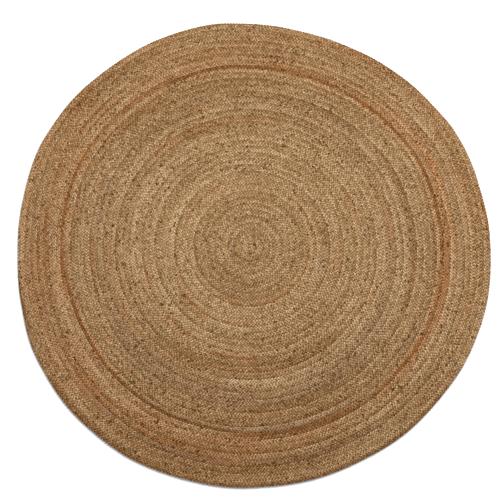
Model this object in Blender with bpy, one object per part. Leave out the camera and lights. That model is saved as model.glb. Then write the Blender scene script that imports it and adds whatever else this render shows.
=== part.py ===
# A round rug made of one flat jute braid, coiled from the middle and sewn row to row.
# Metres, +Z up. The origin is on the floor, under the middle of the rug's box.

from collections import namedtuple
from math import cos, radians, sin

import bmesh
import bpy
from mathutils import Matrix, Vector

RUG_NAME = "braided_rug"
COLLECTION_NAME = "round_jute_rug"

RADIUS = 0.751           # middle to edge, before the hand-laid swells below
THICKNESS = 0.010        # one braid lying flat
EDGE_ROUND = 0.0045      # radius of the outer braid's side, above and below
EDGE_STEPS = 2           # extra points on each quarter of that round side
RUN_STEPS = 8            # straight runs between two rows of the table
MERGE_DISTANCE = 0.00001
SHARP_ANGLE = radians(40)

JUTE_COLOUR = (0.34, 0.19, 0.088, 1.0)
JUTE_ROUGHNESS = 0.92

# How far the edge lies outside (+) or inside (-) the plain circle. The bearing turns
# anticlockwise from +X, seen from above. Between 184 and 208 degrees the last row of
# braid tapers away to its tip, so the edge steps in there by most of a braid's width.
EdgePoint = namedtuple("EdgePoint", "bearing_deg out_mm")
HAND_LAID_EDGE = (
    EdgePoint(0, -1.0),
    EdgePoint(15, -3.5),
    EdgePoint(28, 2.0),
    EdgePoint(38, -4.5),
    EdgePoint(50, -10.0),
    EdgePoint(65, -15.5),
    EdgePoint(79, -13.0),
    EdgePoint(91, -3.5),
    EdgePoint(105, 8.5),
    EdgePoint(128, 9.5),
    EdgePoint(150, 15.0),
    EdgePoint(167, 5.0),
    EdgePoint(183, -1.5),
    EdgePoint(194, 4.5),
    EdgePoint(208, 14.0),
    EdgePoint(229, 15.5),
    EdgePoint(250, 6.5),
    EdgePoint(274, -3.0),
    EdgePoint(298, -6.0),
    EdgePoint(318, -2.5),
    EdgePoint(340, 2.5),
)


def clear_scene():
    for obj in list(bpy.data.objects):
        bpy.data.objects.remove(obj, do_unlink=True)


def named_collection(name):
    collection = bpy.data.collections.new(name)
    bpy.context.scene.collection.children.link(collection)
    return collection


def jute_material():
    material = bpy.data.materials.new("jute_braid")
    material.use_nodes = True
    shader = material.node_tree.nodes["Principled BSDF"]
    shader.inputs["Base Color"].default_value = JUTE_COLOUR
    shader.inputs["Roughness"].default_value = JUTE_ROUGHNESS
    shader.inputs["Metallic"].default_value = 0.0
    return material


def edge_position(row):
    reach = RADIUS + row.out_mm / 1000
    bearing = radians(row.bearing_deg)
    return Vector((reach * cos(bearing), reach * sin(bearing), 0.0))


def outline_curve():
    """The edge as one smooth closed curve, thickened to the braid with a round side."""
    curve = bpy.data.curves.new("outline", "CURVE")
    curve.dimensions = "2D"
    curve.fill_mode = "BOTH"
    curve.resolution_u = RUN_STEPS
    curve.extrude = THICKNESS / 2 - EDGE_ROUND
    curve.bevel_depth = EDGE_ROUND
    curve.bevel_resolution = EDGE_STEPS
    curve.offset = -EDGE_ROUND  # keeps the round side inside the edge
    spline = curve.splines.new("BEZIER")
    spline.bezier_points.add(len(HAND_LAID_EDGE) - 1)
    for knot, row in zip(spline.bezier_points, HAND_LAID_EDGE):
        knot.co = edge_position(row)
        knot.handle_left_type = "AUTO"
        knot.handle_right_type = "AUTO"
    spline.use_cyclic_u = True
    return curve


def solid_from_curve(curve, name, collection):
    """A closed mesh object of the curve, with its loose caps welded to its side."""
    guide = bpy.data.objects.new("outline_guide", curve)
    collection.objects.link(guide)
    graph = bpy.context.evaluated_depsgraph_get()
    mesh = bpy.data.meshes.new_from_object(guide.evaluated_get(graph))
    bpy.data.objects.remove(guide, do_unlink=True)
    mesh.name = name
    welded = bmesh.new()
    welded.from_mesh(mesh)
    bmesh.ops.remove_doubles(welded, verts=welded.verts, dist=MERGE_DISTANCE)
    bmesh.ops.recalc_face_normals(welded, faces=welded.faces)
    welded.to_mesh(mesh)
    welded.free()
    solid = bpy.data.objects.new(name, mesh)
    collection.objects.link(solid)
    return solid


def stand_on_origin(mesh):
    """Puts the middle of the mesh's box over the origin, and its underside at zero."""
    corners = [[vertex.co[axis] for vertex in mesh.vertices] for axis in range(3)]
    middle_x, middle_y, _ = [(min(side) + max(side)) / 2 for side in corners]
    mesh.transform(Matrix.Translation((-middle_x, -middle_y, -min(corners[2]))))


def make_rug(collection):
    rug = solid_from_curve(outline_curve(), RUG_NAME, collection)
    stand_on_origin(rug.data)
    rug.data.materials.append(jute_material())
    rug.data.shade_smooth()
    rug.data.set_sharp_from_angle(angle=SHARP_ANGLE)
    return rug


clear_scene()
make_rug(named_collection(COLLECTION_NAME))
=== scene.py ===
import math
from collections import namedtuple

import bpy
import numpy as np
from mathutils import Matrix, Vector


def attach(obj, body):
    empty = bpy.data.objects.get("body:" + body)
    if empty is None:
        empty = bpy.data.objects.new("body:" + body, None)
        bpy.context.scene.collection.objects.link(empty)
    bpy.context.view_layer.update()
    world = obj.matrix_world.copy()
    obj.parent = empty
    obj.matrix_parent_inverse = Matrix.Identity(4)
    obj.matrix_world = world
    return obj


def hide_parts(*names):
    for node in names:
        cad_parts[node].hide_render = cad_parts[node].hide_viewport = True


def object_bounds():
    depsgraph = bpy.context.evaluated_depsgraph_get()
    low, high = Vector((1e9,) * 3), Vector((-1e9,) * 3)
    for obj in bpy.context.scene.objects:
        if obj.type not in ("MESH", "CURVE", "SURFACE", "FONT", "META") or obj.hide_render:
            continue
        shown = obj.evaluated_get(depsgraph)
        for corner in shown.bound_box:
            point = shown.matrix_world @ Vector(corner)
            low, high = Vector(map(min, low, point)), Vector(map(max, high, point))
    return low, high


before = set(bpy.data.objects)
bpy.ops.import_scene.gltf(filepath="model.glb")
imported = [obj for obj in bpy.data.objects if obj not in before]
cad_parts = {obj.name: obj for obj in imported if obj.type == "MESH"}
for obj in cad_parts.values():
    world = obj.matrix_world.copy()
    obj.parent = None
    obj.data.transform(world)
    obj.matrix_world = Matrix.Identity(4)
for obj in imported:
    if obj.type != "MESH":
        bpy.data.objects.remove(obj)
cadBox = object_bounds()
middleHeight = (cadBox[0][2] + cadBox[1][2]) / 2

rugNode = "braided_rug"
rugBody = "root"
upward = (0.0, 0.0, 1.0)
millimetres = 1000                      # in a metre

view = {
    "aim": (-0.0137, -0.0044, 0.0),     # where the middle of the picture meets the floor
    "elevation": math.radians(79.0),    # seen a little from the rug's near side
    "distance": 4.628,
    "lens": 105.0,
    "sensor": 36.0,
}

coil = {
    "centre": (-0.0137, 0.0054),        # where the braid starts, off the middle of the box
    "rows": 36.0,                       # full-width rows from the middle to the edge
    "fullBearing": 208.0,               # the last row has its full width up to here
    "tipBearing": 185.5,                # and its cut end is sewn down here
    "tailMargins": (2.0, 1.0),          # degrees past the tip and the full width
    "pointsPerTurn": 160,
    "swellFade": 2.0,                   # how fast the edge's unevenness dies away inwards
    "edgeBand": 0.0006,                 # the CAD edge is the points this near mid-height
    "leastHalfWidth": 0.0014,
    "wander": 0.0003,                   # how far the sewn rows stray from a true coil
    "breathing": 0.030,                 # how much a row's width varies, as a share
    "unevenness": 0.0008,               # how far a seam strays in or out over a turn
    "evenRows": 2.0,                    # rows at the middle and the edge where that fades
    "slack": 0.00022,                   # how far two rows may stand apart at random
    "slackRange": (-0.4, 2.2),
    "seamReach": 1.4,                   # half rows from a seam to where its gap is gone
    "press": 0.0015,                    # how far the strands reach past their row's edge
    "calmShare": 0.45,                  # rows nearer the middle than this are more alike
    "calmest": 0.40,
    "zones": 5,                         # pieces that the long braid is cut into
}

# Gaps between two rows, which show as dark lines. Bearings run anticlockwise from +X, the
# share from the middle (0) to the edge (1), and the gap is in millimetres.
Seam = namedtuple("Seam", "fromBearing toBearing fromShare toShare gap")
openSeams = [Seam(*row) for row in (
    (0, 82, 0.812, 0.810, 1.9),
    (0, 82, 0.785, 0.785, 1.7),
    (82, 112, 0.785, 0.772, 1.5),
    (112, 187, 0.808, 0.806, 1.7),
    (185, 268, 0.778, 0.775, 1.8),
    (205, 268, 0.806, 0.805, 1.0),
    (268, 360, 0.812, 0.810, 1.7),
    (268, 360, 0.786, 0.785, 1.6),
    (60, 150, 0.905, 0.905, 1.3),
    (150, 188, 0.905, 0.892, 1.1),
    (222, 360, 0.882, 0.880, 1.5),
    (0, 50, 0.880, 0.880, 1.1),
    (218, 302, 0.982, 0.980, 1.9),
    (92, 120, 0.975, 0.975, 1.4),
    (42, 130, 0.662, 0.660, 1.2),
    (75, 120, 0.632, 0.630, 1.2),
    (185, 235, 0.645, 0.620, 1.2),
    (235, 283, 0.620, 0.630, 1.0),
    (283, 360, 0.632, 0.645, 1.2),
    (0, 18, 0.670, 0.670, 1.0),
    (300, 350, 0.600, 0.600, 0.9),
    (20, 75, 0.580, 0.580, 0.8),
    (192, 312, 0.068, 0.072, 1.0),
    (350, 372, 0.062, 0.066, 1.0),
)]

# Runs of off-colour jute and stained places, on the same bearings and shares, and wide places with
# painted light and shade.
# half is half the width of the place as a share. Light is negative where the jute is darker.
Place = namedtuple("Place", "fromBearing toBearing fromShare toShare half rust violet light")
tintedAndLitPlaces = [Place(*row) for row in (
    (0, 360, 0.786, 0.786, 0.042, 0.22, 0.00, 0.01),
    (0, 82, 0.789, 0.789, 0.008, 0.62, 0.00, -0.20),
    (82, 116, 0.789, 0.777, 0.008, 0.62, 0.00, -0.23),
    (112, 187, 0.790, 0.790, 0.008, 0.65, 0.00, -0.20),
    (185, 222, 0.785, 0.771, 0.008, 0.70, 0.00, -0.22),
    (222, 267, 0.771, 0.767, 0.008, 0.70, 0.00, -0.22),
    (267, 325, 0.785, 0.790, 0.008, 0.58, 0.00, -0.20),
    (325, 360, 0.795, 0.795, 0.012, 0.35, 0.00, -0.04),
    (0, 40, 0.830, 0.828, 0.009, 0.25, 0.00, 0.05),
    (240, 302, 0.680, 0.680, 0.070, 0.13, 0.00, 0.00),
    (268, 300, 0.760, 0.758, 0.009, 0.00, 0.00, 0.11),
    (0, 360, 0.640, 0.640, 0.045, 0.00, 0.08, -0.03),
    (212, 312, 0.645, 0.648, 0.038, 0.00, 0.20, -0.08),
    (0, 62, 0.650, 0.650, 0.030, 0.00, 0.14, -0.03),
    (150, 175, 0.650, 0.650, 0.014, 0.00, 0.30, 0.06),
    (288, 360, 0.595, 0.595, 0.032, 0.00, 0.20, -0.02),
    (295, 360, 0.300, 0.300, 0.013, 0.00, 0.30, 0.04),
    (0, 360, 0.900, 0.900, 0.080, 0.26, 0.00, -0.01),
    (135, 300, 0.900, 0.900, 0.060, 0.18, 0.00, 0.00),
    (0, 360, 0.985, 0.985, 0.020, 0.00, 0.00, 0.03),
    (0, 360, 0.405, 0.405, 0.035, 0.00, 0.00, 0.03),
    (0, 360, 0.175, 0.175, 0.025, 0.00, 0.00, 0.03),
    # painted light: the left and right sides of the rug are lighter
    (138, 222, 0.700, 0.700, 0.290, 0.00, 0.00, 0.05),
    (322, 400, 0.500, 0.500, 0.170, 0.00, 0.00, 0.04),
    (0, 360, 0.818, 0.818, 0.020, 0.00, 0.00, 0.10),
    (182, 272, 0.640, 0.640, 0.360, 0.12, 0.00, 0.04),
    # painted shade: the top and bottom sides of the rug are darker
    (48, 112, 0.840, 0.840, 0.150, 0.00, 0.00, -0.04),
    (235, 300, 0.840, 0.840, 0.150, 0.00, 0.00, -0.04),
    (225, 285, 0.180, 0.180, 0.120, 0.00, 0.00, -0.05),
    (232, 312, 0.505, 0.505, 0.038, 0.32, 0.00, -0.05),
    (250, 276, 0.470, 0.470, 0.010, 0.45, 0.00, -0.08),
    (75, 120, 0.520, 0.520, 0.052, 0.26, 0.05, -0.02),
    (215, 240, 0.350, 0.350, 0.016, 0.42, 0.00, -0.06),
    (342, 366, 0.360, 0.360, 0.010, 0.38, 0.00, -0.04),
    (240, 262, 0.230, 0.230, 0.013, 0.34, 0.00, 0.02),
    (200, 262, 0.150, 0.148, 0.010, 0.32, 0.00, -0.09),
    (160, 181, 0.335, 0.335, 0.016, 0.00, 0.30, 0.09),
    (70, 110, 0.410, 0.410, 0.018, 0.00, 0.00, 0.09),
    (225, 325, 0.910, 0.910, 0.028, 0.00, 0.20, -0.08),
    (95, 120, 0.988, 0.988, 0.014, 0.30, 0.00, -0.17),
    (215, 325, 0.988, 0.988, 0.013, 0.35, 0.00, -0.17),
    (220, 300, 0.962, 0.960, 0.009, 0.00, 0.00, 0.09),
    (0, 15, 0.988, 0.988, 0.013, 0.40, 0.00, -0.03),
    (140, 160, 0.988, 0.988, 0.013, 0.40, 0.00, -0.03),
    (0, 360, 0.330, 0.330, 0.060, 0.00, 0.00, 0.01),
    (0, 360, 0.060, 0.060, 0.060, 0.00, 0.00, -0.03),
    (192, 312, 0.066, 0.072, 0.010, 0.10, 0.00, -0.09),
)]
placeEnd = 4.0                          # degrees over which a place fades in or out

# How far all rows stand apart, in millimetres, by their share of the way to the edge.
openingShares = (0.00, 0.20, 0.40, 0.60, 0.72, 1.00)
openingGaps = (0.0, 0.0, 0.1, 0.2, 0.0, 0.1)

# Unevenness along the braid, coarse and fine: wavelengths in metres, each with its reach.
Waves = namedtuple("Waves", "seed parts")
lightWaves = Waves(
    40, ((0.05, 0.012), (0.16, 0.020), (0.5, 0.030), (1.1, 0.038), (1.9, 0.044), (6.0, 0.012)),
)
rustWaves = Waves(20, ((0.10, 0.05), (0.35, 0.07), (1.2, 0.06), (4.5, 0.06)))
violetWaves = Waves(30, ((0.12, 0.06), (0.4, 0.08), (1.3, 0.07), (4.0, 0.06)))
slackWaves = Waves(60, ((0.06, 0.4), (0.2, 0.5), (0.7, 0.6), (2.4, 0.7)))
wanderWaves = Waves(3, ((0.055, 0.6), (0.31, 1.0)))
breathingWaves = Waves(7, ((0.04, 0.6), (0.23, 0.6)))
rowWaves = Waves(90, ((0.18, 0.5), (0.45, 0.7), (1.1, 0.7)))    # wavelengths in turns


def eased(share):
    # Leaves nought and arrives at one without a kink.
    return share * share * (3 - 2 * share)


def waveHeights(along, waves):
    # A random wave with coarse and fine parts, the same on every run.
    total = np.zeros(len(along))
    spare = 8                           # points past the end
    for number, (wavelength, reach) in enumerate(waves.parts):
        count = int(max(along[-1], 1.0) / wavelength) + spare
        heights = np.random.default_rng(waves.seed + number).normal(0.0, 1.0, count)
        place = np.clip(along, 0, None) / wavelength
        first = np.floor(place).astype(int)
        blend = eased(place - first)
        total += reach * (heights[first] * (1 - blend) + heights[first + 1] * blend)
    return total


def window(bearing, start, end):
    # One inside a range of bearings, with soft ends, and how far along the range each is.
    span = end - start
    if span >= 360:
        return np.ones(len(bearing)), (bearing - start) % 360 / 360
    off = (bearing - start + 180 - span / 2) % 360 - 180 + span / 2
    inside = np.clip(np.minimum(off, span - off) / placeEnd + 0.5, 0, 1)
    return inside, np.clip(off / span, 0, 1)


def seamGap(bearing, share):
    # How far the rows stand apart at a seam, in metres, from the two tables.
    gap = np.zeros(len(bearing))
    halfRow = 0.5 / coil["rows"]
    for seam in openSeams:
        inside, way = window(bearing, seam.fromBearing, seam.toBearing)
        away = np.abs(share - (seam.fromShare + (seam.toShare - seam.fromShare) * way))
        near = np.clip(coil["seamReach"] - away / halfRow, 0, 1)
        gap = np.maximum(gap, seam.gap / millimetres * inside * near)
    return gap + np.interp(share, openingShares, openingGaps) / millimetres


def tints(bearing, share):
    # Rust, violet and light along the braid, from the table of tinted places and painted light and
    # shade.
    rust, violet, light = np.zeros((3, len(bearing)))
    for place in tintedAndLitPlaces:
        inside, way = window(bearing, place.fromBearing, place.toBearing)
        away = share - (place.fromShare + (place.toShare - place.fromShare) * way)
        amount = inside * np.exp(-(away / place.half) ** 4)
        rust += place.rust * amount
        violet += place.violet * amount
        light += place.light * amount
    return rust, violet, light


def edgeReach():
    # The CAD solid's edge as a reach for each bearing about the coil's centre.
    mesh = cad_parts[rugNode].data
    points = np.empty(len(mesh.vertices) * 3)
    mesh.vertices.foreach_get("co", points)
    points = points.reshape(-1, 3)
    rim = points[np.abs(points[:, 2] - middleHeight) < coil["edgeBand"]]
    off = rim[:, :2] - coil["centre"]
    bearing = np.degrees(np.arctan2(off[:, 1], off[:, 0])) % 360
    order = np.argsort(bearing)
    return bearing[order], np.hypot(off[:, 0], off[:, 1])[order]


def edgeSwell(rimBearing, rimReach, rowWidth):
    # How far the edge lies outside a true coil, with the braid's end left out.
    bearing = np.arange(0, 360, 0.5)
    reach = np.interp(bearing, rimBearing, rimReach, period=360)
    turnShare = ((bearing - coil["fullBearing"]) % 360) / 360
    swell = reach - rowWidth * (coil["rows"] + 0.5 - turnShare)
    pastTip, pastFull = coil["tailMargins"]
    ends = [coil["tipBearing"] - pastTip, coil["fullBearing"] + pastFull]
    tail = (bearing > ends[0]) & (bearing < ends[1])
    swell[tail] = np.interp(bearing[tail], ends, np.interp(ends, bearing, swell))
    return bearing, swell


def coilPath():
    # The row's centre line from the middle of the rug to the tip of its end.
    rimBearing, rimReach = edgeReach()
    rowWidth = np.interp(np.arange(360), rimBearing, rimReach, period=360).mean() / coil["rows"]
    swellBearing, swell = edgeSwell(rimBearing, rimReach, rowWidth)
    tail = (coil["fullBearing"] - coil["tipBearing"]) / 360
    turn = np.arange(0.0, coil["rows"] + tail, 1 / coil["pointsPerTurn"])
    bearing = coil["fullBearing"] + 360 * (coil["rows"] - turn)
    angle = np.radians(bearing)
    swellHere = np.interp(bearing % 360, swellBearing, swell, period=360)

    # The far edge of a row, which is also the near edge of the next row out.
    def rowEdge(row):
        edge = np.clip(row + 0.5, 0, None)
        toEdge = np.clip((coil["rows"] - 0.5 - row) / coil["evenRows"], 0, 1)
        fromMiddle = np.clip((row - 0.5) / coil["evenRows"], 0, 1)
        stray = coil["unevenness"] * waveHeights(row, rowWaves) * toEdge * fromMiddle
        fade = (edge / (coil["rows"] + 0.5)) ** coil["swellFade"]
        return rowWidth * edge + stray + swellHere * fade

    def lineAt(reach):
        line = np.stack([reach * np.cos(angle), reach * np.sin(angle)], axis=1)
        return line + coil["centre"]

    outer = rowEdge(turn)
    inner = rowEdge(turn - 1)
    isTail = turn > coil["rows"]
    outer[isTail] = np.interp(bearing[isTail] % 360, rimBearing, rimReach, period=360)
    steps = np.hypot(*np.diff(lineAt((outer + inner) / 2), axis=0).T)
    along = np.concatenate([[0], np.cumsum(steps)])
    alongInside = np.interp(turn - 1, turn, along)
    outerShare = (turn + 0.5) / (coil["rows"] + 0.5)
    innerShare = (turn - 0.5) / (coil["rows"] + 0.5)

    # Both rows draw back from a seam, by the table and a little at random.
    def drawnBack(where, share, rim):
        slack = coil["slack"] * np.clip(waveHeights(where, slackWaves), *coil["slackRange"])
        return np.where(rim, coil["press"], seamGap(bearing, share) / 2 + slack)

    atRim = turn > coil["rows"] - 1 + tail
    outer = outer - drawnBack(along, outerShare, atRim)
    inner = inner + np.where(turn < 1, 0, drawnBack(alongInside, innerShare, False))
    reach = (outer + inner) / 2 + waveHeights(along, wanderWaves) * coil["wander"]
    halfWidth = (outer - inner) / 2
    halfWidth = halfWidth * (1 + coil["breathing"] * waveHeights(along, breathingWaves))
    line = lineAt(reach)
    share = (outerShare + innerShare) / 2
    calm = np.interp(share, (0.0, coil["calmShare"]), (coil["calmest"], 1.0))
    path = {
        "x": line[:, 0],
        "y": line[:, 1],
        "along": along,
        "halfWidth": np.maximum(halfWidth, coil["leastHalfWidth"]),
        "ringShare": share,
    }
    for lane, aside in (("inner", -0.5), ("outer", 0.5)):
        rust, violet, light = tints(bearing, share + aside / lanes / coil["rows"])
        path[lane + "Rust"] = rust + waveHeights(along, rustWaves)
        path[lane + "Violet"] = violet + waveHeights(along, violetWaves)
        path[lane + "Light"] = light + calm * waveHeights(along, lightWaves)
    print("coil of", round(along[-1], 1), "m, rows", round(rowWidth * millimetres, 1), "mm wide")
    return path


plait = {
    "Lobe pitch": 0.0099,               # between two lobes on one side of a braid
    "Across": 0.76,                     # a strand's swing, as a share of the braid's half width
    "Squareness": 0.12,                 # how straight it runs along the side of the braid
    "Lift": 0.0015,                     # its rise and fall about the middle of the rug
    "Inner rise": 0.0002,               # the inner half of a braid stands higher than the outer
    "Inner light": 0.06,                # and is lighter
    "Lane light": 0.050,                # the inner braid of a row is lighter than the outer
    "Pitch drift": 0.0030,              # how far the lobes stray along the row
    "Late dip": 0.10,                   # how far past the middle it stays on top, in radians
    "Section width": 0.48,              # out to a corner, as a share of the braid's half width
    "Section height": 0.0042,           # and up to it
    "Thin below": 0.004,                # a braid whose half width is less than this is thinner
    "Turn widening": 0.30,              # the strand spreads where it turns at the side
    "Turn plumping": 0.20,
    "Plumpness": 0.10,                  # how unevenly the strands are spun
    "Samples": 6,                       # rings of points in one full plait
}
sides = 4                               # a strand is flat on top and below
strands = 3
lanes = 2                               # two braids lie side by side in each row
plaitLength = strands * plait["Lobe pitch"]

# Random waves along a braid or a strand: how many to a metre, and a seed and a reach each.
Ripple = namedtuple("Ripple", "perMetre seed reach")
quickStray = Ripple(28.0, 5.0, 0.25)    # the lobes bunch and spread
stray = Ripple(8.0, 17.0, 1.0)
slowStray = Ripple(0.8, 29.0, 5.0)      # one braid runs ahead of the other
unevenSwing = Ripple(70.0, 3.0, 0.04)
unevenLight = Ripple(2.5, 41.0, 0.8)
unevenSpin = Ripple(45.0, 9.0, 1.0)
rippleGain = 2.6                        # brings the noise to about -1 to 1
laneApart = 150.0                       # metres of noise from one braid to the other
strandApart = 200.0                     # and from one strand to the next
rounding = 0.01                         # keeps a whole number whole


def zoneEnds(path):
    # Cuts the braid into zones of equal length, each a whole number of plaits long.
    plaits = int(path["along"][-1] / plaitLength)
    count = coil["zones"]
    cuts = [round(plaits * i / count) * plaitLength for i in range(count)]
    return cuts + [plaits * plaitLength]


def placed(name, data):
    # A new object in the scene.
    made = bpy.data.objects.new(name, data)
    bpy.context.scene.collection.objects.link(made)
    return made


def guideMesh(name, path, start, end):
    # A zone's centre line as a run of edges, which carries the row's width and tints.
    inside = (path["along"] > start) & (path["along"] < end)
    along = np.concatenate([[start], path["along"][inside], [end]])
    column = {key: np.interp(along, path["along"], path[key]) for key in path}
    points = np.stack([column["x"], column["y"], np.full(len(along), middleHeight)], axis=1)
    mesh = bpy.data.meshes.new(name)
    mesh.from_pydata(points.tolist(), [(i, i + 1) for i in range(len(along) - 1)], [])
    for key in ("along", "halfWidth", "ringShare"):
        mesh.attributes.new(key, "FLOAT", "POINT").data.foreach_set("value", column[key])
    for lane in ("inner", "outer"):
        tint = np.stack([column[lane + key] for key in ("Rust", "Violet", "Light")], axis=1)
        kept = mesh.attributes.new(lane + "Tint", "FLOAT_VECTOR", "POINT")
        kept.data.foreach_set("vector", tint.ravel())
    return placed(name, mesh)


def newTree(name, sizes):
    # A Geometry Nodes tree with a named input for each size.
    tree = bpy.data.node_groups.new(name, "GeometryNodeTree")
    tree.interface.new_socket("Geometry", in_out="INPUT", socket_type="NodeSocketGeometry")
    tree.interface.new_socket("Geometry", in_out="OUTPUT", socket_type="NodeSocketGeometry")
    for label, value in sizes.items():
        kind = "NodeSocketInt" if isinstance(value, int) else "NodeSocketFloat"
        tree.interface.new_socket(label, in_out="INPUT", socket_type=kind)
    return tree, tree.nodes.new("NodeGroupInput").outputs, tree.nodes.new("NodeGroupOutput")


def plug(tree, socket, value):
    # Links a socket to another, or sets it to a plain value.
    if isinstance(value, bpy.types.NodeSocket):
        tree.links.new(value, socket)
    else:
        socket.default_value = value


def add(tree, kind, plugs=None, **settings):
    # Adds a node, sets its options, and plugs sockets or plain values into its inputs.
    node = tree.nodes.new(kind)
    for key, value in settings.items():
        setattr(node, key, value)
    for key, value in (plugs or {}).items():
        plug(tree, node.inputs[key], value)
    return node


def calc(tree, operation, *values, clamp=False):
    node = tree.nodes.new("ShaderNodeMath")
    node.operation = operation
    node.use_clamp = clamp
    for socket, value in zip(node.inputs, values):
        plug(tree, socket, value)
    return node.outputs[0]


def times(tree, first, second):
    return calc(tree, "MULTIPLY", first, second)


def vectorCalc(tree, operation, *values):
    node = tree.nodes.new("ShaderNodeVectorMath")
    node.operation = operation
    for socket, value in zip(node.inputs, values):
        plug(tree, socket, value)
    return node.outputs["Vector"]


def scaled(tree, vector, factor):
    node = add(tree, "ShaderNodeVectorMath", {0: vector}, operation="SCALE")
    plug(tree, node.inputs["Scale"], factor)
    return node.outputs["Vector"]


def joined(tree, x, y, z):
    return add(tree, "ShaderNodeCombineXYZ", {"X": x, "Y": y, "Z": z}).outputs[0]


def attribute(tree, name, kind="FLOAT"):
    return add(tree, "GeometryNodeInputNamedAttribute", {"Name": name}, data_type=kind).outputs[0]


def store(tree, geometry, name, value, kind="FLOAT"):
    node = add(
        tree, "GeometryNodeStoreNamedAttribute",
        {"Geometry": geometry, "Name": name, "Value": value},
        data_type=kind, domain="POINT",
    )
    return node.outputs["Geometry"]


def randomWave(tree, place, ripple):
    # A smooth random number from about -1 to 1 along a strand.
    noise = add(
        tree, "ShaderNodeTexNoise",
        {"W": calc(tree, "ADD", place, ripple.seed), "Scale": ripple.perMetre, "Detail": 1.0},
        noise_dimensions="1D",
    )
    return times(tree, calc(tree, "SUBTRACT", noise.outputs[0], 0.5), rippleGain)


def strandPhase(tree, size):
    # Where a point is in its strand's plait, in turns. The points of all strands are moved
    # to the same few places, of which more lie on top of the braid than under it.
    underSpread = 1.25
    overSpread = 0.8333
    overStart = 0.1667
    steps = calc(tree, "DIVIDE", attribute(tree, "step"), size["Samples"])
    ahead = calc(tree, "DIVIDE", attribute(tree, "strand"), float(strands))
    plain = calc(tree, "ADD", steps, ahead)
    whole = calc(tree, "ROUND", times(tree, plain, size["Samples"]))
    halves = calc(tree, "DIVIDE", times(tree, whole, 2.0), size["Samples"])
    full = calc(tree, "FLOOR", calc(tree, "ADD", halves, rounding))
    rest = calc(tree, "SUBTRACT", halves, full)
    under = times(tree, rest, underSpread)
    over = calc(tree, "MULTIPLY_ADD", rest, overSpread, overStart)
    turns = calc(tree, "ADD", full, calc(tree, "MINIMUM", under, over))
    turns = calc(tree, "DIVIDE", turns, 2.0)
    return turns, calc(tree, "SUBTRACT", turns, plain)


def laneNoisePlace(tree):
    # A place along the row that is another stretch of noise for each of its braids.
    return calc(tree, "MULTIPLY_ADD", attribute(tree, "lane"), laneApart, attribute(tree, "along"))


def braidHalf(tree):
    return calc(tree, "DIVIDE", attribute(tree, "halfWidth"), float(lanes))


def thinness(tree, size):
    # How much of its full height a strand keeps where the braid runs out.
    return calc(tree, "MINIMUM", 1.0, calc(tree, "DIVIDE", braidHalf(tree), size["Thin below"]))


def strandCopies(tree, size):
    # The guide once for every strand, with its place in the plait and its stray.
    line = add(tree, "GeometryNodeMeshToCurve", {"Mesh": size["Geometry"]}).outputs["Curve"]
    line = add(tree, "GeometryNodeResampleCurve", {"Curve": line, "Count": size["Steps"]})
    line = line.outputs["Curve"]
    line = store(tree, line, "step", add(tree, "GeometryNodeInputIndex").outputs[0])
    copies = add(
        tree, "GeometryNodeDuplicateElements", {"Geometry": line, "Amount": strands * lanes},
        domain="SPLINE",
    )
    line = store(tree, copies.outputs["Geometry"], "strand", copies.outputs["Duplicate Index"])

    # The lane is -1 in the outer braid of the row and 1 in the inner.
    lane = calc(tree, "DIVIDE", attribute(tree, "strand"), strands - rounding)
    lane = calc(tree, "MULTIPLY_ADD", calc(tree, "FLOOR", lane), 2.0, -1.0)
    line = store(tree, line, "lane", lane)

    turns, slip = strandPhase(tree, size)
    line = store(tree, line, "phase", times(tree, turns, math.tau))
    length = times(tree, size["Lobe pitch"], float(strands))
    slip = times(tree, slip, length)
    place = laneNoisePlace(tree)
    drift = randomWave(tree, place, stray)
    for ripple in (quickStray, slowStray):
        drift = calc(tree, "MULTIPLY_ADD", randomWave(tree, place, ripple), ripple.reach, drift)
    slip = calc(tree, "MULTIPLY_ADD", drift, size["Pitch drift"], slip)
    line = store(tree, line, "slip", slip)
    run = calc(tree, "MULTIPLY_ADD", attribute(tree, "strand"), strandApart, attribute(tree, "along"))
    return store(tree, line, "run", calc(tree, "ADD", run, attribute(tree, "slip")))


def strandSwing(tree, size, phase):
    # How far a strand is out to the side of the row's centre line.
    half = braidHalf(tree)
    bend = calc(tree, "SINE", times(tree, phase, 3.0))
    bend = calc(tree, "MULTIPLY_ADD", bend, size["Squareness"], calc(tree, "SINE", phase))
    bend = calc(tree, "DIVIDE", bend, calc(tree, "SUBTRACT", 1.0, size["Squareness"]))
    swing = times(tree, bend, times(tree, half, size["Across"]))
    wave = randomWave(tree, attribute(tree, "run"), unevenSwing)
    swing = times(tree, swing, calc(tree, "MULTIPLY_ADD", wave, unevenSwing.reach, 1.0))
    return calc(tree, "MULTIPLY_ADD", half, attribute(tree, "lane"), swing)


def strandTint(tree, size, inner):
    # The tint of the strand's own braid, lighter in the inner braid and on its inner half.
    lane = attribute(tree, "lane")
    wave = randomWave(tree, laneNoisePlace(tree), unevenLight)
    lighter = calc(tree, "MULTIPLY_ADD", wave, unevenLight.reach, lane)
    lighter = times(tree, lighter, size["Lane light"])
    lighter = calc(tree, "MULTIPLY_ADD", inner, size["Inner light"], lighter)
    isInner = calc(tree, "MULTIPLY_ADD", lane, 0.5, 0.5)
    isOuter = calc(tree, "SUBTRACT", 1.0, isInner)
    innerTint = scaled(tree, attribute(tree, "innerTint", "FLOAT_VECTOR"), isInner)
    outerTint = scaled(tree, attribute(tree, "outerTint", "FLOAT_VECTOR"), isOuter)
    tint = vectorCalc(tree, "ADD", innerTint, outerTint)
    return vectorCalc(tree, "ADD", tint, joined(tree, 0.0, 0.0, lighter))


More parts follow.
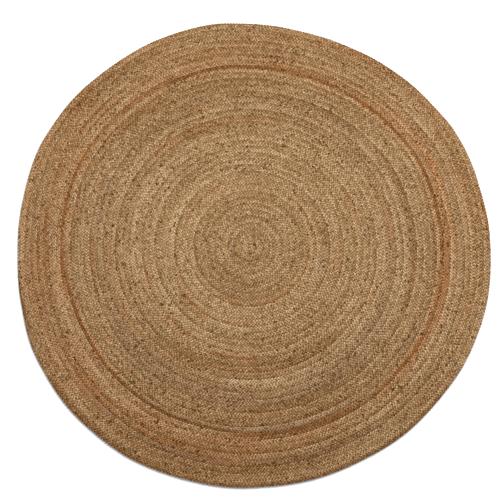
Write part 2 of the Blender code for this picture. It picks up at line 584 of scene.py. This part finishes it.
def strandLines(tree, size, line):
    # Moves each strand out to its swing and over and under the others.
    phase = attribute(tree, "phase")
    tangent = add(tree, "GeometryNodeInputTangent").outputs[0]
    sideways = vectorCalc(tree, "CROSS_PRODUCT", tangent, upward)
    sideways = vectorCalc(tree, "NORMALIZE", sideways)

    # Twice up and twice down in a plait, with the top and the bottom drawn out a little.
    late = times(tree, size["Late dip"], -1.0)
    above = calc(tree, "SINE", calc(tree, "MULTIPLY_ADD", phase, 2.0, late))
    above = times(tree, above, -1.0)
    square = times(tree, above, above)
    above = times(tree, above, calc(tree, "MULTIPLY_ADD", square, -0.5, 1.5))
    crown = calc(tree, "MAXIMUM", above, 0.0)
    line = store(tree, line, "crown", crown)
    inner = times(tree, calc(tree, "SINE", phase), crown)
    line = store(tree, line, "tint", strandTint(tree, size, inner), "FLOAT_VECTOR")
    rise = times(tree, inner, size["Inner rise"])
    rise = calc(tree, "MULTIPLY_ADD", above, size["Lift"], rise)
    rise = times(tree, rise, thinness(tree, size))

    shift = scaled(tree, sideways, strandSwing(tree, size, phase))
    shift = vectorCalc(tree, "ADD", shift, joined(tree, 0.0, 0.0, rise))
    shift = vectorCalc(tree, "ADD", shift, scaled(tree, tangent, attribute(tree, "slip")))
    line = add(tree, "GeometryNodeSetPosition", {"Geometry": line, "Offset": shift}).outputs[0]
    line = add(tree, "GeometryNodeSetCurveNormal", {"Curve": line}, mode="Z_UP").outputs[0]
    spine = add(tree, "GeometryNodeInputPosition").outputs[0]
    line = store(tree, line, "spine", spine, "FLOAT_VECTOR")
    tangent = add(tree, "GeometryNodeInputTangent").outputs[0]
    across = vectorCalc(tree, "CROSS_PRODUCT", tangent, upward)
    return store(tree, line, "across", vectorCalc(tree, "NORMALIZE", across), "FLOAT_VECTOR")


def strandTubes(tree, size, line):
    # A tiny tube gives the faces, and its points are then moved out to the strand's section.
    tinyScale = 0.001
    turnSharpness = 4.0
    ring = add(
        tree, "GeometryNodeCurvePrimitiveCircle", {"Resolution": sides, "Radius": 1.0},
        mode="RADIUS",
    ).outputs["Curve"]
    ring = store(tree, ring, "side", add(tree, "GeometryNodeInputIndex").outputs[0])
    tube = add(
        tree, "GeometryNodeCurveToMesh",
        {"Curve": line, "Profile Curve": ring, "Scale": tinyScale, "Fill Caps": True},
    ).outputs["Mesh"]
    phase = attribute(tree, "phase")
    turn = calc(tree, "ADD", attribute(tree, "side"), 0.5)
    turn = times(tree, turn, math.tau / sides)
    atSide = calc(tree, "ABSOLUTE", calc(tree, "SINE", phase))
    atSide = calc(tree, "POWER", atSide, turnSharpness)
    plump = randomWave(tree, attribute(tree, "run"), unevenSpin)
    plump = calc(tree, "MULTIPLY_ADD", plump, size["Plumpness"], 1.0)
    wider = calc(tree, "MULTIPLY_ADD", atSide, size["Turn widening"], 1.0)
    wide = times(tree, braidHalf(tree), size["Section width"])
    wide = times(tree, times(tree, wide, wider), plump)
    wide = times(tree, wide, calc(tree, "COSINE", turn))
    taller = calc(tree, "MULTIPLY_ADD", atSide, size["Turn plumping"], 1.0)
    tall = times(tree, size["Section height"], taller)
    tall = times(tree, times(tree, tall, thinness(tree, size)), plump)
    tall = times(tree, tall, calc(tree, "SINE", turn))
    arm = scaled(tree, attribute(tree, "across", "FLOAT_VECTOR"), wide)
    arm = vectorCalc(tree, "ADD", arm, joined(tree, 0.0, 0.0, tall))
    place = vectorCalc(tree, "ADD", attribute(tree, "spine", "FLOAT_VECTOR"), arm)
    return add(tree, "GeometryNodeSetPosition", {"Geometry": tube, "Position": place}).outputs[0]


def lobeMarks(tree, tube):
    # Each lobe gets a random number of its own, which changes where the strand is underneath.
    lobeStart = 0.24
    strandStride = 50000.0              # these two keep every lobe's number apart
    metreStride = 7.0
    diceSeed = 4
    lobe = calc(tree, "DIVIDE", attribute(tree, "phase"), math.pi)
    lobe = calc(tree, "FLOOR", calc(tree, "SUBTRACT", lobe, lobeStart))
    lobe = calc(tree, "MULTIPLY_ADD", attribute(tree, "strand"), strandStride, lobe)
    metre = calc(tree, "FLOOR", attribute(tree, "along"))
    lobe = calc(tree, "ADD", lobe, times(tree, metre, metreStride))
    dice = add(
        tree, "FunctionNodeRandomValue", {"ID": lobe, "Seed": diceSeed}, data_type="FLOAT",
    ).outputs[1]
    mark = joined(tree, attribute(tree, "run"), dice, attribute(tree, "ringShare"))
    return store(tree, tube, "strandPlace", mark, "FLOAT_VECTOR")


def plaitTree(material):
    # Plaits strands along a guide: each swings from side to side and passes over and under.
    tree, size, out = newTree("plaitStrands", {**plait, "Steps": 10})
    line = strandCopies(tree, size)
    line = strandLines(tree, size, line)
    tube = lobeMarks(tree, strandTubes(tree, size, line))
    spent = ("spine", "across", "phase", "slip", "lane", "halfWidth", "ringShare", "along")
    for name in (*spent, "innerTint", "outerTint"):
        tube = add(tree, "GeometryNodeRemoveAttribute", {"Geometry": tube, "Name": name}).outputs[0]
    tube = add(tree, "GeometryNodeSetShadeSmooth", {"Geometry": tube, "Shade Smooth": True})
    tube = add(tree, "GeometryNodeRealizeInstances", {"Geometry": tube.outputs[0]})
    tube = add(
        tree, "GeometryNodeSetMaterial", {"Geometry": tube.outputs[0], "Material": material},
    )
    plug(tree, out.inputs["Geometry"], tube.outputs[0])
    return tree


def grown(name, guide, tree, sizes):
    # Runs a tree on a guide and returns what it makes as a plain mesh object.
    modifier = guide.modifiers.new("nodes", "NODES")
    modifier.node_group = tree
    for item in tree.interface.items_tree:
        if item.in_out == "INPUT" and item.name in sizes:
            modifier[item.identifier] = sizes[item.name]
    graph = bpy.context.evaluated_depsgraph_get()
    mesh = bpy.data.meshes.new_from_object(guide.evaluated_get(graph))
    bpy.data.objects.remove(guide, do_unlink=True)
    mesh.name = name
    return placed(name, mesh)


bake = {
    "strips": 12,                       # each strand is laid out in this many strips
    "gutter": 0.12,                     # the share of a strip's height that stays empty
    "capCorner": 0.004,                 # the cut ends' small corner of the map
    "capReach": 0.4,                    # half the size of a cut end, as a share of it
    "capFirst": 0.2,                    # where the first one lies, and how far they go on
    "capSpan": 0.6,
    "capSpots": 7,
    "girth": 0.0175,                    # metres round a strand
}


def cornerValues(mesh, name):
    # A point attribute read at every face corner.
    values = np.empty(len(mesh.vertices))
    mesh.attributes[name].data.foreach_get("value", values)
    points = np.empty(len(mesh.loops), dtype=np.int32)
    mesh.loops.foreach_get("vertex_index", points)
    return values[points]


def mapYarn(mesh, steps):
    # Two maps: one in metres along and round each strand, and one that lays the strands
    # in strips and the cut ends in a corner.
    faces = len(mesh.polygons)
    firsts = np.empty(faces, dtype=np.int32)
    totals = np.empty(faces, dtype=np.int32)
    mesh.polygons.foreach_get("loop_start", firsts)
    mesh.polygons.foreach_get("loop_total", totals)
    face = np.repeat(np.arange(faces), totals)
    side = cornerValues(mesh, "side")
    step = cornerValues(mesh, "step")
    strand = np.round(cornerValues(mesh, "strand"))
    run = cornerValues(mesh, "run")
    lowSide = np.minimum.reduceat(side, firsts)
    highSide = np.maximum.reduceat(side, firsts)
    wraps = (highSide - lowSide > 1.5)[face]    # back to the first side
    side = np.where(wraps & (side < 0.5), sides, side)
    around = side / sides
    firstStep = np.minimum.reduceat(step, firsts)
    isCap = (np.maximum.reduceat(step, firsts) - firstStep < 0.5)[face]
    firstStep = firstStep[face]

    yarnMap = mesh.uv_layers.new(name="yarnUV")
    yarnMap.data.foreach_set("uv", np.stack([run, around * bake["girth"]], axis=1).ravel())

    perStrip = math.ceil((steps - 1) / bake["strips"])
    strip = np.floor((firstStep + rounding) / perStrip)
    rowHeight = (1 - bake["capCorner"]) / (bake["strips"] * strands * lanes)
    row = strand * bake["strips"] + strip
    inRow = bake["gutter"] / 2 + around * (1 - bake["gutter"])
    u = (step - strip * perStrip) / perStrip
    v = bake["capCorner"] + (row + inRow) * rowHeight
    spots = bake["capSpots"]
    spot = bake["capFirst"] + bake["capSpan"] * (row % spots) / spots
    capAcross = bake["capReach"] * np.cos(around * math.tau) + 1 + 2 * spot
    capUp = bake["capReach"] * np.sin(around * math.tau) + 0.5
    u = np.where(isCap, bake["capCorner"] * capAcross, u)
    v = np.where(isCap, bake["capCorner"] * capUp, v)
    layout = mesh.uv_layers.new(name="OFBake")
    layout.data.foreach_set("uv", np.stack([u, v], axis=1).ravel())
    for name in ("side", "step", "run", "strand"):
        mesh.attributes.remove(mesh.attributes[name])
    mesh.uv_layers.active = yarnMap


def mixed(tree, factor, first, second, blend="MIX"):
    node = tree.nodes.new("ShaderNodeMix")
    node.data_type = "RGBA"
    node.blend_type = blend
    colourSockets = (node.inputs[0], node.inputs[6], node.inputs[7])
    for socket, value in zip(colourSockets, (factor, first, second)):
        plug(tree, socket, value)
    return node.outputs[2]


def ramped(tree, value, low, high, start=0.0, end=1.0):
    # Carries a value from one range to another, with soft ends.
    return add(
        tree, "ShaderNodeMapRange",
        {"Value": value, "From Min": low, "From Max": high, "To Min": start, "To Max": end},
        interpolation_type="SMOOTHSTEP",
    ).outputs[0]


def newMaterial(name, finish):
    # A material with plain values on its shader, and its node tree and shader.
    material = bpy.data.materials.new(name)
    material.use_nodes = True
    tree = material.node_tree
    shader = tree.nodes["Principled BSDF"]
    for label, value in finish.items():
        shader.inputs[label].default_value = value
    return material, tree, shader


def roughen(tree, shader, piece, height):
    # Small bumps on the surface, from a height.
    settings = {"Strength": piece["bump"], "Distance": piece["bumpDepth"], "Height": height}
    plug(tree, shader.inputs["Normal"], add(tree, "ShaderNodeBump", settings).outputs[0])


yarn = {
    "dark": (0.128, 0.050, 0.011, 1.0),     # the same jute, from its darkest to its palest
    "brown": (0.274, 0.158, 0.064, 1.0),
    "straw": (0.457, 0.320, 0.177, 1.0),
    "pale": (0.668, 0.516, 0.345, 1.0),
    "brownAt": 0.38,
    "strawAt": 0.66,
    "rust": (0.318, 0.134, 0.043, 1.0),
    "violet": (0.350, 0.238, 0.148, 1.0),
    "fleck": (0.078, 0.030, 0.004, 1.0),
    "creviceShade": (0.57, 0.40, 0.21, 1.0),     # painted shade: what is left of the colour deep in the plait
    "deep": 0.0012,                         # heights above mid-thickness
    "clear": 0.0038,
    "crowned": 0.9,                         # where a lobe is as bright as it gets
    "dipShade": 0.42,                       # painted shade: how dark its two ends are
    "longReach": 0.32,                      # how much the parts of the pattern count
    "lobeReach": 0.24,
    "fibreReach": 1.20,
    "raggedness": 3.0,
    "mottleReach": 1.45,
    "mottleAlong": 180.0,                   # mottles in a metre of yarn, and round it
    "mottleRound": 360.0,
    "redderRange": (0.60, 0.72),            # which heights of the noise are redder jute
    "redderReach": 0.35,
    "patchRange": (0.36, 0.62),             # a rusty or violet place is patchy
    "patchReach": (0.30, 1.45),
    "shadeSlope": 1.3,                      # how dark tinted jute is, by its tone
    "shadeBase": 0.35,
    "flecks": 0.680,                        # the height of the noise above which jute is barky
    "fleckEdge": 0.04,
    "fleckRuns": 0.45,                      # how much more there is of it in some stretches
    "fleckRaggedness": 0.35,
    "cleanShares": (0.10, 0.55),            # there is less of it towards the middle of the rug
    "cleanReach": -0.04,
    "twist": 0.30,                          # how far a fibre winds round for each metre along
    "bump": 0.55,
    "bumpDepth": 0.0008,
    "finish": {
        "Roughness": 0.92,
        "Specular IOR Level": 0.10,
        "Sheen Weight": 0.03,
        "Sheen Roughness": 0.6,
        "Sheen Tint": (1.0, 0.86, 0.66, 1.0),
    },
}

# Streaks of fibre: how many to a metre along and round the strand, and how much they count.
Streak = namedtuple("Streak", "along round detail share")
hairStreak = Streak(28.0, 3000.0, 2.0, 0.40)
fineStreak = Streak(45.0, 1300.0, 2.0, 0.35)
bundleStreak = Streak(22.0, 420.0, 1.0, 0.25)
barkStreak = Streak(100.0, 140.0, 0.0, 1.0)
barkSeed = 3.0

# Changes along a strand: how many to a metre, and where in the noise each one starts.
Stretch = namedtuple("Stretch", "start perMetre detail roughness")
toneStretch = Stretch(0.0, 2.2, 3.0, 0.70)
redderStretch = Stretch(31.7, 1.1, 3.0, 0.5)
patchStretch = Stretch(53.9, 5.0, 2.0, 0.5)
barkStretch = Stretch(77.3, 3.5, 2.0, 0.5)


def stretches(tree, run, stretch):
    settings = {
        "W": calc(tree, "ADD", run, stretch.start),
        "Scale": stretch.perMetre,
        "Detail": stretch.detail,
        "Roughness": stretch.roughness,
    }
    return add(tree, "ShaderNodeTexNoise", settings, noise_dimensions="1D").outputs[0]


def streaks(tree, length, wound, streak, seed):
    # Fibres lie along the strand and wind slowly round it.
    along = times(tree, length, streak.along)
    place = joined(tree, along, times(tree, wound, streak.round), seed)
    settings = {"Vector": place, "Scale": 1.0, "Detail": streak.detail}
    return add(tree, "ShaderNodeTexNoise", settings).outputs[0]


def offMiddle(tree, noise, reach, base):
    # Adds a noise, measured from its middle value, to what there is.
    return calc(tree, "MULTIPLY_ADD", calc(tree, "SUBTRACT", noise, 0.5), reach, base)


def juteMaterial():
    material, tree, shader = newMaterial("juteYarn", yarn["finish"])
    place = add(tree, "ShaderNodeAttribute", attribute_name="strandPlace").outputs["Vector"]
    run, lobe, share = add(tree, "ShaderNodeSeparateXYZ", {0: place}).outputs
    tint = add(tree, "ShaderNodeAttribute", attribute_name="tint").outputs["Vector"]
    rust, violet, light = add(tree, "ShaderNodeSeparateXYZ", {0: tint}).outputs
    spot = add(tree, "ShaderNodeUVMap", uv_map="yarnUV").outputs[0]
    length, around, _ = add(tree, "ShaderNodeSeparateXYZ", {0: spot}).outputs
    wound = calc(tree, "MULTIPLY_ADD", length, yarn["twist"], around)

    hair = streaks(tree, length, wound, hairStreak, share)
    fine = streaks(tree, length, wound, fineStreak, share)
    bundle = streaks(tree, length, wound, bundleStreak, lobe)
    fibres = times(tree, fine, fineStreak.share)
    fibres = calc(tree, "MULTIPLY_ADD", hair, hairStreak.share, fibres)
    fibres = calc(tree, "MULTIPLY_ADD", bundle, bundleStreak.share, fibres)
    ragged = calc(tree, "SUBTRACT", fibres, 0.5)

    # The tone: long stretches, lobes, fibres and mottles, and the light of the place.
    tone = offMiddle(tree, stretches(tree, run, toneStretch), yarn["longReach"], 0.5)
    tone = offMiddle(tree, lobe, yarn["lobeReach"], tone)
    tone = calc(tree, "MULTIPLY_ADD", ragged, yarn["fibreReach"], tone)
    around = times(tree, wound, yarn["mottleRound"])
    around = calc(tree, "MULTIPLY_ADD", ragged, yarn["raggedness"], around)
    mottle = joined(tree, times(tree, length, yarn["mottleAlong"]), around, lobe)
    mottle = add(tree, "ShaderNodeTexNoise", {"Vector": mottle, "Scale": 1.0, "Detail": 2.0})
    tone = offMiddle(tree, mottle.outputs[0], yarn["mottleReach"], tone)
    tone = calc(tree, "ADD", tone, light)
    ramp = add(tree, "ShaderNodeValToRGB", {"Fac": tone})
    stops = ramp.color_ramp.elements
    stops.new(yarn["brownAt"])
    stops.new(yarn["strawAt"])
    for stop, name in zip(stops, ("dark", "brown", "straw", "pale")):
        stop.color = yarn[name]
    colour = ramp.outputs[0]

    # Strands of redder jute and dull violet ones.
    redder = stretches(tree, run, redderStretch)
    patch = stretches(tree, run, patchStretch)
    patch = ramped(tree, patch, *yarn["patchRange"], *yarn["patchReach"])
    rust = times(tree, rust, patch)
    violet = times(tree, violet, patch)
    redder = ramped(tree, redder, *yarn["redderRange"], 0.0, yarn["redderReach"])
    redder = calc(tree, "ADD", rust, redder)
    shade = calc(tree, "MULTIPLY_ADD", tone, yarn["shadeSlope"], yarn["shadeBase"])
    shade = joined(tree, shade, shade, shade)
    rusty = mixed(tree, 1.0, yarn["rust"], shade, "MULTIPLY")
    dull = mixed(tree, 1.0, yarn["violet"], shade, "MULTIPLY")
    colour = mixed(tree, calc(tree, "ADD", redder, 0.0, clamp=True), colour, rusty)
    colour = mixed(tree, calc(tree, "ADD", violet, 0.0, clamp=True), colour, dull)

    # A dark fleck of bark now and then.
    bark = streaks(tree, length, wound, barkStreak, barkSeed)
    bark = calc(tree, "MULTIPLY_ADD", ragged, yarn["fleckRaggedness"], bark)
    bark = offMiddle(tree, stretches(tree, run, barkStretch), yarn["fleckRuns"], bark)
    clean = ramped(tree, share, *yarn["cleanShares"], yarn["cleanReach"], 0.0)
    bark = calc(tree, "ADD", bark, clean)
    fleck = ramped(tree, bark, yarn["flecks"], yarn["flecks"] + yarn["fleckEdge"])
    colour = mixed(tree, fleck, colour, yarn["fleck"])

    # Painted shade: the jute is painted darker and redder deep in the plait and where a lobe dips
    # under the next, where shade falls.
    spot = add(tree, "ShaderNodeTexCoord").outputs["Object"]
    height = add(tree, "ShaderNodeSeparateXYZ", {0: spot}).outputs["Z"]
    height = calc(tree, "ABSOLUTE", calc(tree, "SUBTRACT", height, middleHeight))
    # Painted shade by height: jute near mid-thickness gets the crevice colour.
    paintedShade = ramped(tree, height, yarn["deep"], yarn["clear"], 1.0, 0.0)
    crown = add(tree, "ShaderNodeAttribute", attribute_name="crown").outputs["Fac"]
    # Painted shade at a lobe's two ends, where it dips under the next.
    paintedDipShade = ramped(tree, crown, 0.0, yarn["crowned"], yarn["dipShade"], 0.0)
    paintedShade = calc(tree, "ADD", paintedShade, paintedDipShade, clamp=True)
    deep = mixed(tree, 1.0, colour, yarn["creviceShade"], "MULTIPLY")
    plug(tree, shader.inputs["Base Color"], mixed(tree, paintedShade, colour, deep))
    roughen(tree, shader, yarn, fibres)
    return material


def makeBraid(material):
    path = coilPath()
    ends = zoneEnds(path)
    tree = plaitTree(material)
    pieces = []
    for number, (start, end) in enumerate(zip(ends[:-1], ends[1:]), 1):
        guide = guideMesh(f"braidGuide{number}", path, start, end)
        steps = round((end - start) / plaitLength * plait["Samples"]) + 1
        piece = grown(f"jute_braid_{number}", guide, tree, {**plait, "Steps": steps})
        mapYarn(piece.data, steps)
        pieces.append(piece)
        print("braid", number, "up to", round(end, 2), "m,", len(piece.data.polygons), "faces")
    return pieces


ground = {
    "thickness": 0.0012,
    "inset": 0.005,                     # the outer row covers its edge
    "tailInset": 0.004,                 # and it keeps clear of the thin end of the braid
    "tailMargins": (6.0, 2.0),          # degrees past the tip and the full width
    "bearings": 240,
    "rings": 6,
    # the sheet's dark brown is painted shade, seen only between the strands
    "colour": (0.160, 0.076, 0.026, 1.0),
    "lighter": (0.250, 0.132, 0.050, 1.0),
    "grain": 900.0,
    "grainDetail": 3.0,
    "bump": 0.4,
    "bumpDepth": 0.0004,
    "finish": {"Roughness": 0.95},
}


def groundMaterial():
    material, tree, shader = newMaterial("paintedShadeGround", ground["finish"])
    spot = add(tree, "ShaderNodeTexCoord").outputs["Object"]
    settings = {"Vector": spot, "Scale": ground["grain"], "Detail": ground["grainDetail"]}
    grain = add(tree, "ShaderNodeTexNoise", settings).outputs[0]
    # Painted shade: the sheet is dark brown like jute in shadow.
    plug(tree, shader.inputs["Base Color"], mixed(tree, grain, ground["colour"], ground["lighter"]))
    roughen(tree, shader, ground, grain)
    return material


def rugArea():
    # The area inside the CAD solid's edge.
    bearing, reach = edgeReach()
    angle = np.radians(np.append(bearing, bearing[0] + 360))
    reach = np.append(reach, reach[0])
    return float(0.5 * np.sum(reach[:-1] * reach[1:] * np.sin(np.diff(angle))))


def groundRim(bearing):
    # How far out the sheet goes.
    rim = np.interp(bearing, *edgeReach(), period=360)
    pastTip, pastFull = ground["tailMargins"]
    tail = (bearing > coil["tipBearing"] - pastTip) & (bearing < coil["fullBearing"] + pastFull)
    return np.where(tail, rim - ground["tailInset"], rim) - ground["inset"]


def makeGround():
    # A thin sheet at mid-height, which closes the pinholes of the plait; its dark brown is painted
    # shade, seen where the strands part.
    count = ground["bearings"]
    bearing = np.arange(count) * 360 / count
    angle = np.radians(bearing)
    rim = groundRim(bearing)
    points = []
    faces = []
    for isTop, aside in ((False, -0.5), (True, 0.5)):
        height = middleHeight + aside * ground["thickness"]
        first = len(points)
        points.append((*coil["centre"], height))
        for ring in range(1, ground["rings"] + 1):
            reach = rim * ring / ground["rings"]
            xs = coil["centre"][0] + reach * np.cos(angle)
            ys = coil["centre"][1] + reach * np.sin(angle)
            points += [(float(x), float(y), height) for x, y in zip(xs, ys)]
        for i in range(count):
            j = (i + 1) % count
            spoke = [(first, first + 1 + i, first + 1 + j)]
            for ring in range(1, ground["rings"]):
                inner = first + 1 + (ring - 1) * count
                spoke.append((inner + i, inner + count + i, inner + count + j, inner + j))
            faces += spoke if isTop else [tuple(reversed(face)) for face in spoke]
    low = len(points) // 2 - count
    high = len(points) - count
    for i in range(count):
        j = (i + 1) % count
        faces.append((low + i, low + j, high + j, high + i))
    mesh = bpy.data.meshes.new("shade_ground")
    mesh.from_pydata(points, [], faces)
    mesh.materials.append(groundMaterial())
    print("ground", len(faces), "faces")
    return placed("shade_ground", mesh)


def setCamera():
    camera = placed("camera", bpy.data.cameras.new("camera"))
    camera.data.lens = view["lens"]
    camera.data.sensor_width = view["sensor"]
    lean = math.pi / 2 - view["elevation"]
    x, y, z = view["aim"]
    back = view["distance"] * math.sin(lean)
    camera.location = (x, y - back, z + view["distance"] * math.cos(lean))
    camera.rotation_euler = (lean, 0.0, 0.0)
    bpy.context.scene.camera = camera
    print("camera set")


studio = {
    "roomColour": (1.0, 1.0, 1.0, 1.0),
    "room": 0.52,                       # even light from all round
    "softbox": 70.0,
    "softboxSize": 1.5,
    "softboxPlace": (0.35, 0.85, 2.5),
    "far": 0.7,                         # a far, wide lamp that keeps the floor even
    "farSpread": math.radians(24.0),
    "farLean": (math.radians(-32.0), math.radians(22.0), 0.0),
    "floorSide": 6.0,
    "floorDrop": 0.0005,
    "floorFinish": {"Base Color": (0.92, 0.92, 0.92, 1.0), "Roughness": 0.9},
}


def setLights():
    scene = bpy.context.scene
    world = bpy.data.worlds.new("softRoom")
    world.use_nodes = True
    background = world.node_tree.nodes["Background"]
    background.inputs["Color"].default_value = studio["roomColour"]
    background.inputs["Strength"].default_value = studio["room"]
    scene.world = world
    scene.view_settings.view_transform = "Standard"
    lamp = bpy.data.lights.new("softbox", "AREA")
    lamp.energy = studio["softbox"]
    lamp.size = studio["softboxSize"]
    box = placed("softbox", lamp)
    box.location = studio["softboxPlace"]
    x, y, z = studio["softboxPlace"]
    box.rotation_euler = (-math.atan2(y, z), math.atan2(x, z), 0.0)
    lamp = bpy.data.lights.new("farLamp", "SUN")
    lamp.energy = studio["far"]
    lamp.angle = studio["farSpread"]
    placed("farLamp", lamp).rotation_euler = studio["farLean"]
    print("lights set")


def makeFloor():
    side = studio["floorSide"]
    low = -studio["floorDrop"]
    mesh = bpy.data.meshes.new("floor")
    corners = [(-side, -side, low), (side, -side, low), (side, side, low), (-side, side, low)]
    mesh.from_pydata(corners, [], [(0, 1, 2, 3)])
    mesh.materials.append(newMaterial("paleFloor", studio["floorFinish"])[0])
    floor = placed("floor", mesh)
    print("floor laid")


setCamera()
setLights()
makeFloor()
braidPieces = makeBraid(juteMaterial())
groundPiece = makeGround()
for piece in [groundPiece, *braidPieces]:
    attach(piece, rugBody)
    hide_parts(rugNode)
rugArea()
